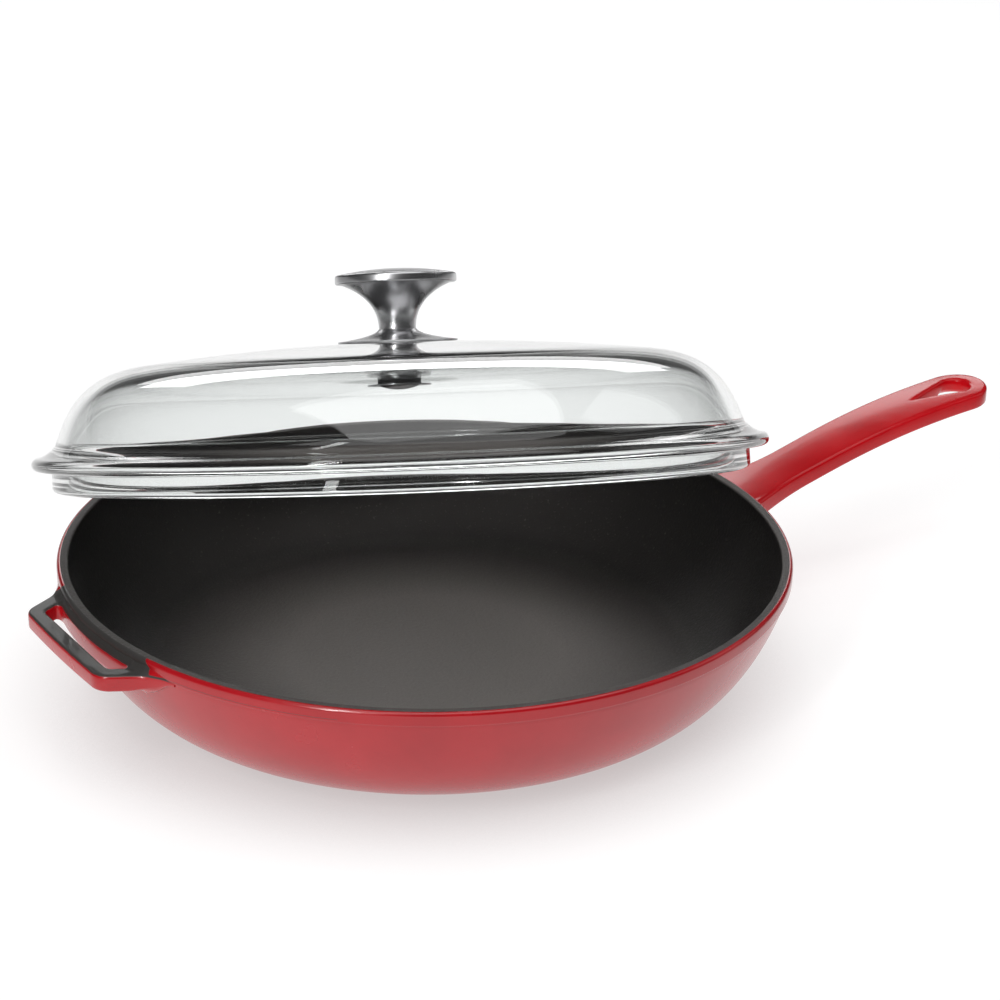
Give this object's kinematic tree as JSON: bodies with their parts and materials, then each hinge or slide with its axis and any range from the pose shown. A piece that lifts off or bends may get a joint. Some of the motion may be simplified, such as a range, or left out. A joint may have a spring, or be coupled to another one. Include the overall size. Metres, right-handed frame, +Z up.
{
  "type": "cast iron skillet",
  "caption": "Round enamelled cast-iron frying pan with a long handle, a helper loop and a domed glass lid that tips open over its rear edge.",
  "frame": {"origin": "centre of the flat base, on the surface that the pan stands on", "axes": "+Z up, +X along the long handle, -X towards the helper loop"},
  "size_m": [0.4515, 0.29, 0.1672],
  "materials": {
    "cast_iron": "matte, ground flat underneath",
    "red_enamel": "glossy vitreous enamel",
    "black_enamel": "matte, finely grained vitreous enamel",
    "red_enamelled_iron": "cast iron under glossy red enamel",
    "clear_glass": "clear, polished",
    "satin_steel": "satin, turned",
    "silicone": "matte"
  },
  "bodies": {
    "pan": {"pan_casting": "cast_iron", "exterior_enamel": "red_enamel", "interior_enamel": "black_enamel", "long_handle": "red_enamelled_iron", "helper_handle": "red_enamelled_iron"},
    "lid": {"glass_cover": "clear_glass", "knob_cap": "satin_steel", "knob_stem": "satin_steel", "knob_foot": "satin_steel", "foot_gasket": "silicone", "inner_gasket": "silicone", "inner_washer": "satin_steel", "knob_screw": "satin_steel"}
  },
  "joints": [
    {"name": "lid_tilt", "type": "hinge", "parent": "pan", "child": "lid", "pos_m": [0.03848, 0.09769, 0.078], "axis": [-0.8987, 0.354, -0.2588], "range_deg": [-21, 45]}
  ]
}
